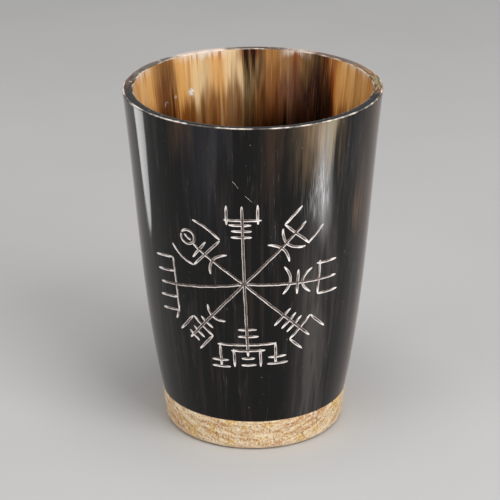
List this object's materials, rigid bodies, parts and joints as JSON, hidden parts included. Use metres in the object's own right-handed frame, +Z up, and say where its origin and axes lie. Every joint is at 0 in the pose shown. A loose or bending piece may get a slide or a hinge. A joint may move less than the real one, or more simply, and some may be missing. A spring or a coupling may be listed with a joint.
{
  "type": "horn drinking cup",
  "caption": "Tapered drinking cup made of one length of polished horn, closed at the foot by a glued-in, turned wooden base with a sealed floor.",
  "frame": {"origin": "centre of the flat underside of the wooden base", "axes": "+Z up along the cup's axis through the mouth; -Y towards the engraved front; +X to the right of it"},
  "size_m": [0.0798, 0.0798, 0.1112],
  "materials": {
    "horn": "polished dark horn, near black outside with brown fibres, amber and cream inside",
    "wood": "pale turned wood with fine brown grain, oiled to a satin sheen",
    "glue": "cured dark brown glue film",
    "seal": "amber food-safe resin coat, glossy"
  },
  "bodies": {
    "root": {"horn_body": "horn", "wooden_base": "wood", "glue_joint": "glue", "floor_seal": "seal"}
  },
  "joints": []
}
